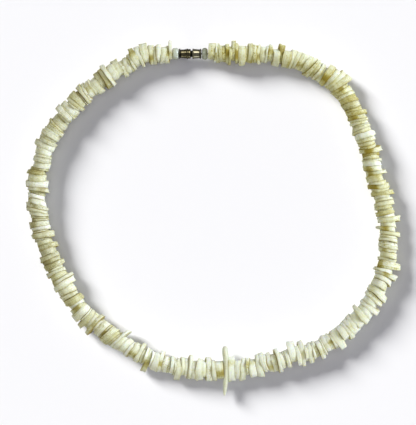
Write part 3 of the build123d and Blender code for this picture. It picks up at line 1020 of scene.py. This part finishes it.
    def rings(self, draw: np.random.Generator, solids: ChipSolids, turns: np.ndarray,
              wear: Wear) -> list[tuple[np.ndarray, np.ndarray]]:
        """The rings of points round each chip, from the hole over the back, the rim and the front.

        Args:
            draw: Where the rims' bellies come from.
            solids: The chips.
            turns: (k,) angles round a chip, in radians.
            wear: The chips' wear.

        Returns:
            The (n, k) reach r of each ring and its (n, k) place ahead: that of the bent side at r,
            drawn in at the rim by the softened edge. Half way across the rim, r is (1 + belly) of
            its mean.
        """
        count = solids.count
        thick = (solids.planes[1] - solids.planes[0])[:, 0]
        size = np.minimum(self.bend, self.bend_limit * np.minimum(thick[1:], thick[:-1]))
        seams = Seams.drawn(np.random.default_rng(self.stretch.value[1] + 1), size)

        def at(reach: np.ndarray) -> list[np.ndarray]:
            """Places ahead of the back and the front side, at a reach."""
            return self.sides(solids, seams, reach * np.cos(turns), reach * np.sin(turns))

        hole = np.broadcast_to(solids.hole[:, None], wear.edge.shape)
        halves = []
        for index, (reach, towards) in enumerate(zip(wear.reaches, (1, -1))):
            ends = at(reach)
            thick = ends[1] - ends[0]
            seam_share = self.edge_closed + self.edge_opened * wear.open_seams[index:index + count]
            soft = np.clip(wear.edge * seam_share, *(limit * thick for limit in self.edge_limits))
            depth = soft * wear.longer
            flat = at(reach - depth)[index]
            half = [(hole, at(hole)[index])]
            for turn in self.quarter():
                out, down = math.sin(turn), 1 - math.cos(turn)
                ahead = flat + (ends[index] - flat) * out + towards * soft * down
                half.append((reach - depth * (1 - out), ahead))
            halves.append(half)
        belly = self.belly * (draw.normal(0, 1, (count, 1)) + self.waves(draw, count, turns, 4))
        belly = np.clip(belly - self.belly / 2, *self.belly_limits)
        belly = belly * np.clip(thick / self.full_belly, 0, 1)
        reach, ahead = ((back + front) / 2 for back, front in zip(halves[0][-1], halves[1][-1]))
        return [*halves[0], (reach * (1 + belly), ahead), *halves[1][::-1]]

    def quarter(self) -> np.ndarray:
        """Angles of the steps over a softened edge."""
        return np.linspace(0, math.pi / 2, self.edge_steps + 1)

    def numbers(self, draw: np.random.Generator, solids: ChipSolids, turns: np.ndarray,
                open_seams: np.ndarray) -> dict[str, np.ndarray]:
        """What the finish reads from the chips.

        Args:
            draw: Where the differences come from.
            solids: The chips.
            turns: (k,) angles round a chip, in radians.
            open_seams: (n + 1, 1) how open each seam is.

        Returns:
            Numbers of each chip, turn and ring. The crevice, which carries a painted shade between
            the chips, is deepest at the hole and fades over the softened edge, and more so where a
            seam is closed. The tone runs unevenly round and across a chip, and is paler at the ends
            that PALE_ENDS names, a painted light on the inner ends at the lower right.
        """
        steps = np.array([0.0, *(0.14 * (1 - np.cos(self.quarter())))])
        across = np.concatenate([steps, [0.5], 1 - steps[::-1]])
        # Painted crevice shade: deepest at the hole, fading over the edge, darker where a seam is open
        deep = np.array([1.0, *(0.9 * (1 - 0.78 * np.sin(self.quarter())))])
        dark = 0.35 + 0.65 * open_seams
        middle = np.zeros((solids.count, 1))
        crevice = np.concatenate([dark[:-1] * deep, middle, dark[1:] * deep[::-1]], axis=1)
        tone, stain, fade = self.tones(draw, solids)
        two_tone = draw.normal(0, 0.16, (solids.count, 1, 1)) * (across - 0.5)
        uneven = 0.10 * self.waves(draw, solids.count, turns, 3)
        # Painted light on the inner ends at the lower right, and paler outer ends at the upper right,
        # from PALE_ENDS
        for ends in PALE_ENDS:
            near = np.clip((solids.centre @ ends.towards - self.pale_from) / self.pale_over, 0, 1)
            uneven += ends.gain * near[:, None] * np.clip(ends.outer * np.cos(turns), 0, 1)
        return {
            "across": across, "crevice": crevice[:, None],
            "tone": tone[:, None, None] + two_tone + uneven[..., None],
            "stain": stain[:, None, None], "fade": fade[:, None, None],
            "spot": self.spots(solids, turns)[..., None],
            "phase": draw.random(solids.count)[:, None, None],
        }

    def build(self) -> bpy.types.Object:
        """Makes the stretch.

        Returns:
            The piece. A point of a chip is centre + r cos(t) outward + r sin(t) upward + a ahead,
            kept above the floor, where r and a are those of its ring.
        """
        node, seed, _, _ = self.stretch.value
        solids = ChipSolids(node)
        solids.read()
        draw = np.random.default_rng(seed)
        turns = np.arange(self.around) * TAU / self.around
        wear = self.wear(draw, solids, turns)
        points = np.stack([
            solids.centre[:, None]
            + (reach * np.cos(turns))[..., None] * solids.outward[:, None]
            + (reach * np.sin(turns))[..., None] * solids.upward[:, None]
            + ahead[..., None] * solids.ahead[:, None]
            for reach, ahead in self.rings(draw, solids, turns, wear)], axis=2)
        points[..., 2] = np.maximum(points[..., 2], 0.0)
        shape = points.shape[:3]
        numbers = self.numbers(draw, solids, turns, wear.open_seams)
        numbers = {name: np.broadcast_to(values, shape) for name, values in numbers.items()}
        piece = piece_from(f"{node}_worn", points.reshape(-1, 3), ring_quads(*shape),
                           self.finish.material(f"{node}_shell"), numbers)
        replace(piece, node)
        return piece


@dataclass
class TurnedPiece:
    """A piece turned about a line along X through the middle of its node."""

    node: str
    slot: str
    outline: Outline
    around: int = 48
    wobble: float = 0.0                 # of the radius

    def build(self, name: str, material: bpy.types.Material) -> bpy.types.Object:
        """Turns the closed outline.

        Args:
            name: The piece's name.
            material: What it is made of.

        Returns:
            The piece: (left + along, middle + r cos t, middle + r sin t) for each outline point
            and turn t.
        """
        low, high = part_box(self.node)
        along, radius, groove = self.outline.T
        turns = np.arange(self.around) * TAU / self.around
        uneven = 1 + self.wobble * (np.cos(3 * turns + 1) + 0.6 * np.cos(5 * turns + 2))[:, None]
        reach = radius * MM * uneven
        centre = (low + high) / 2
        points = np.stack([
            np.broadcast_to(low.x + along * MM, reach.shape),
            centre.y + reach * np.cos(turns)[:, None],
            centre.z + reach * np.sin(turns)[:, None]], axis=-1)
        piece = piece_from(name, points.reshape(-1, 3), ring_quads(1, self.around, len(along)),
                           material, {"groove": np.broadcast_to(groove, reach.shape)})
        replace(piece, self.node)
        return piece


def rounded(corners: Outline, radius: float, steps: int = 3) -> Outline:
    """Rounds each corner of a closed outline.

    Args:
        corners: The outline.
        radius: How far from a corner its rounding starts, in mm, at most 0.4 of either run.
        steps: How many points stand for a corner, less one.

    Returns:
        The points of (1 - q)^2 a + 2 q (1 - q) p + q^2 b, where a and b are the points before and
        after the corner p.
    """
    def start(other: np.ndarray) -> np.ndarray:
        """The point on the way from each corner to the other where its rounding begins."""
        run = np.linalg.norm((other - corners)[:, :2], axis=1, keepdims=True)
        return corners + (other - corners) * np.minimum(radius / run, 0.4)

    a, b = start(np.roll(corners, 1, axis=0)), start(np.roll(corners, -1, axis=0))
    q = np.linspace(0, 1, steps + 1)[None, :, None]
    made = (1 - q) ** 2 * a[:, None] + 2 * q * (1 - q) * corners[:, None] + q ** 2 * b[:, None]
    return made.reshape(-1, 3)


@dataclass
class ScrewClasp:
    """The barrel screw clasp, in two turned halves. Sizes are in mm.

    The tables give a half's outside, in shares of its length and of the radius, and its groove.
    """

    radius: float = 2.2
    socket: float = 5.1
    stud: float = 7.54
    stud_body: float = 3.9
    stud_radius: float = 1.01
    stud_bore: float = 0.68
    neck: float = 0.7
    neck_radius: float = 1.4
    hole: float = 0.38
    bore: float = 1.13
    socket_wall: float = 0.16           # of the socket's length
    stud_wall: float = 0.8
    rounding: float = 0.09
    socket_finish: PlatedMetal = PlatedMetal(from_display(182, 172, 134), from_display(146, 138, 104))
    stud_finish: PlatedMetal = PlatedMetal(from_display(240, 234, 204), from_display(206, 198, 166))

    def socket_outline(self) -> Outline:
        """Outline of the left half.

        Returns:
            Its flange, waist, flared barrel, ring and shoulder, and then its bore.
        """
        outer = [
            (0.00, 0.88, 0.9), (0.03, 0.97, 0.7), (0.10, 0.98, 0.6), (0.125, 0.83, 0.9),
            (0.16, 0.80, 0.8), (0.20, 0.81, 0.4), (0.32, 0.82, 0.1), (0.48, 0.86, 0.0),
            (0.60, 0.90, 0.1), (0.635, 0.87, 0.9), (0.66, 0.98, 0.1), (0.71, 1.00, 0.0),
            (0.76, 0.98, 0.1), (0.785, 0.88, 0.9), (0.81, 0.93, 0.3), (0.89, 0.94, 0.1),
            (0.96, 0.93, 0.5), (1.00, 0.86, 1.0),
        ]
        end = self.socket_wall * self.socket
        inner = [(self.socket, self.bore, 1.0), (end, self.bore, 1.0), (end, self.hole, 1.0),
                 (0.0, self.hole, 1.0)]
        barrel = np.array(outer) * (self.socket, self.radius, 1.0)
        return rounded(np.concatenate([barrel, inner]), self.rounding)

    def stud_outline(self) -> Outline:
        """Outline of the right half.

        Returns:
            Its stud, neck, ring, barrel, ring and flange, and then its bore.
        """
        body, end = self.stud - self.stud_body, self.stud - self.stud_wall
        outer = [
            (0.00, 0.88, 1.0), (0.02, 0.96, 0.4), (0.10, 1.00, 0.0), (0.15, 0.99, 0.0),
            (0.185, 0.92, 0.5), (0.22, 0.92, 0.1), (0.36, 0.91, 0.0), (0.58, 0.89, 0.0),
            (0.74, 0.86, 0.1), (0.79, 0.84, 0.9), (0.83, 0.94, 0.6), (0.88, 0.98, 0.5),
            (0.93, 0.97, 0.6), (0.955, 0.86, 0.9), (0.98, 0.84, 0.8), (1.00, 0.78, 0.9),
        ]
        stud = [(0.0, self.stud_radius, 1.0), (body - self.neck, self.stud_radius, 1.0),
                (body - self.neck, self.neck_radius, 1.0), (body, self.neck_radius, 1.0)]
        barrel = np.array(outer) * (self.stud_body, self.radius, 1.0) + (body, 0.0, 0.0)
        inner = [(self.stud, self.hole, 1.0), (end, self.hole, 1.0), (end, self.stud_bore, 1.0),
                 (0.0, self.stud_bore, 1.0)]
        return rounded(np.concatenate([stud, barrel, inner]), self.rounding)

    def build(self) -> None:
        """Makes both halves, the left one tarnished."""
        for node, name, outline, material in (
                ("clasp_socket_half", "clasp_socket_turned", self.socket_outline(),
                 self.socket_finish.material("tarnished_plating")),
                ("clasp_stud_half", "clasp_stud_turned", self.stud_outline(),
                 self.stud_finish.material("aged_plating"))):
            TurnedPiece(node, "clasp", outline).build(name, material)


@dataclass
class EndBead:
    """One milky glass bead beside the clasp. Sizes are in mm."""

    node: str
    slot: str
    width: float
    radius: float
    rounding: float
    finish: MilkGlass
    hole: float = 0.38
    rim_steps: int = 6

    def outline(self) -> Outline:
        """Outline of the bead.

        Returns:
            Up one face, round over the rim by quarter ellipses, down the other and along the hole.
        """
        turn = np.linspace(0, math.pi / 2, self.rim_steps + 1)
        side, flat = self.rounding, self.radius - self.rounding
        curve = np.stack([side * (1 - np.cos(turn)), flat + side * np.sin(turn)], axis=1)
        left = np.array([(0.0, self.hole), (0.0, (self.hole + flat) / 2), *curve])
        both = np.concatenate([left, (self.width, 0.0) + left[::-1] * (-1, 1)])
        return np.column_stack([both, np.zeros(len(both))])

    def build(self) -> bpy.types.Object:
        """Makes the bead."""
        piece = TurnedPiece(self.node, self.slot, self.outline(), around=40, wobble=0.006)
        return piece.build(f"{self.node}_glass", self.finish.material(f"{self.node}_milk_glass"))


@dataclass
class SmoothSpike:
    """The spike in its own solid's shape, welded so that its sides shade as one."""

    node: str = "spike_shell"
    sharp: float = math.radians(50)
    finish: SpikeFinish = field(default_factory=SpikeFinish)

    def build(self) -> bpy.types.Object:
        """Makes the welded copy.

        Returns:
            The piece. Its points are the node's, each place kept once.
        """
        material = self.finish.material("spike_polished_shell")
        piece = piece_from("spike_shell_polished", *welded(self.node), material)
        piece.data.set_sharp_from_angle(angle=self.sharp)
        replace(piece, self.node)
        return piece


class Lit(Enum):
    """The groups of pieces with lights of their own, by a word in their names. Glass is the rest."""

    FLOOR = "floor"
    METAL = "clasp"
    SHELL = "chips"
    SPIKE = "spike"
    GLASS = ""


class Lamp(NamedTuple):
    """A soft distant light. Angles are in degrees."""

    name: str
    lit: Lit                # the pieces that it lights
    azimuth: float          # where it stands, from +X towards +Y
    rise: float             # how high it stands above the floor
    spread: float           # how wide it is
    strength: float
    colour: Colour = (1.0, 1.0, 1.0)
    alone: bool = False     # nothing else than what it lights stands in its way


# Azimuth, rise and spread of the lights that shell, spike and glass each have
KEY = (23, 29, 30)
DOME = (0, 89.9, 150)
KEY_TINT = (0.95, 1.0, 1.13)

# The floor is lit from the upper left, and the necklace from the right and from all round. The
# spike's own lights leave out the shade of the chips that stand close beside it.
LAMPS = [
    Lamp("shadow_light", Lit.FLOOR, 141, 28, 22, 5.6),
    Lamp("floor_wash", Lit.FLOOR, 0, 89, 60, 0.78, (0.955, 0.945, 1.07), True),
    Lamp("shell_key", Lit.SHELL, *KEY, 2.9, KEY_TINT),
    Lamp("shell_dome", Lit.SHELL, *DOME, 1.48, (1.0, 0.94, 0.68)),
    Lamp("spike_key", Lit.SPIKE, *KEY, 1.5, KEY_TINT, True),
    Lamp("spike_dome", Lit.SPIKE, *DOME, 1.68, (1.0, 0.98, 0.84), True),
    Lamp("glass_key", Lit.GLASS, *KEY, 2.9, KEY_TINT),
    Lamp("glass_dome", Lit.GLASS, *DOME, 1.48, (1.0, 1.0, 0.96)),
    Lamp("glint", Lit.METAL, 90, 51, 40, 0.55, (1.0, 0.98, 0.94)),
    Lamp("glow", Lit.METAL, 270, 8, 26, 0.10),
]


@dataclass
class Studio:
    """The pale floor, the soft lights and the camera straight above."""

    pixel: float = 0.4276 * MM
    frame_height: int = 425
    centre: tuple[float, float] = (-2.603 * MM, 1.900 * MM)
    level: float = 4.5 * MM             # the height at which the picture's scale holds
    lens: float = 135.0
    sensor: float = 36.0
    floor_size: float = 12.0
    floor_steps: int = 41
    floor_drop: float = 0.02 * MM
    surround: float = 0.10              # strength of the light from all round

    def camera(self) -> None:
        """Looks straight down from where the picture's long side spans its own real length."""
        data = bpy.data.cameras.new("camera")
        data.lens, data.sensor_width = self.lens, self.sensor
        data.clip_start, data.clip_end = 0.01, 50.0
        made = placed("camera", data)
        height = self.pixel * self.frame_height * self.lens / self.sensor
        made.location = (*self.centre, self.level + height)
        bpy.context.scene.camera = made

    def floor(self) -> bpy.types.Object:
        """Makes the floor, a gently dished sheet that is flat under the necklace and rises far away.

        Returns:
            The floor: z = 0 out to a third of its size and then (d - third)^2 / size.
        """
        line = np.linspace(-1, 1, self.floor_steps) * self.floor_size / 2
        x, y = np.meshgrid(line, line, indexing="ij")
        far = np.maximum(np.hypot(x, y) - self.floor_size / 3, 0)
        points = np.stack([x, y, far ** 2 / self.floor_size - self.floor_drop], axis=-1).reshape(-1, 3)
        index = np.arange(x.size).reshape(x.shape)
        quads = np.stack([index[:-1, :-1], index[1:, :-1], index[1:, 1:], index[:-1, 1:]], axis=-1)
        material = FloorFinish().material("pale_floor")
        made = piece_from("floor", points, quads.reshape(-1, 4), material, closed=False)
        made.visible_glossy = False
        made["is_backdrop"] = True
        return made

    def lights(self, floor: bpy.types.Object) -> None:
        """Sets up the lights, each for its own group of pieces.

        Args:
            floor: The floor, which isn't among the necklace's pieces.
        """
        groups = {group: bpy.data.collections.new(f"lit_{group.name.lower()}") for group in Lit}
        for piece in [floor, *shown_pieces()]:
            groups[next(group for group in Lit if group.value in piece.name)].objects.link(piece)
        for lamp in LAMPS:
            data = bpy.data.lights.new(lamp.name, "SUN")
            data.energy, data.angle, data.color = lamp.strength, math.radians(lamp.spread), lamp.colour
            azimuth, rise = math.radians(lamp.azimuth), math.radians(lamp.rise)
            flat = math.cos(rise)
            towards = Vector((math.cos(azimuth) * flat, math.sin(azimuth) * flat, math.sin(rise)))
            made = placed(lamp.name, data)
            made.location = towards
            made.rotation_euler = towards.to_track_quat("Z", "Y").to_euler()
            made.light_linking.receiver_collection = groups[lamp.lit]
            if lamp.alone:
                made.light_linking.blocker_collection = groups[lamp.lit]

    def world(self) -> None:
        """A soft white surround, brighter where the camera sees it."""
        world = bpy.data.worlds.new("surround")
        kit = NodeKit(world)
        seen = Signal(kit, kit.node("ShaderNodeLightPath", {}).outputs["Is Camera Ray"])
        strength = seen * (1 - self.surround) + self.surround
        back = kit.node("ShaderNodeBackground", {"Color": (1.0, 1.0, 1.0, 1.0), "Strength": strength})
        kit.node("ShaderNodeOutputWorld", {"Surface": back.outputs[0]})
        bpy.context.scene.world = world

    def build(self) -> None:
        """Sets up the floor, the lights, the surround, the camera and the plain view of colours."""
        self.lights(self.floor())
        self.world()
        self.camera()
        bpy.context.scene.view_settings.view_transform = "Standard"
        bpy.context.scene.view_settings.look = "None"


def main() -> None:
    """Builds the necklace in order, from the chips to the clasp, and then the studio."""
    logging.basicConfig(level=logging.INFO, format="%(name)s: %(message)s")
    for stretch in Stretch:
        ChipStrand(stretch).build()
    SmoothSpike().build()
    dress("string", CordFinish().material("waxed_cord"))
    left_glass = MilkGlass(from_display(202, 208, 180), from_display(228, 238, 226))
    right_glass = MilkGlass(from_display(172, 177, 150), from_display(206, 212, 190))
    EndBead("end_bead_left", "glass_left", 2.65, 2.45, 0.85, left_glass).build()
    EndBead("end_bead_right", "glass_right", 2.45, 2.55, 1.15, right_glass).build()
    ScrewClasp().build()
    Studio().build()


if __name__ == "__main__":
    main()
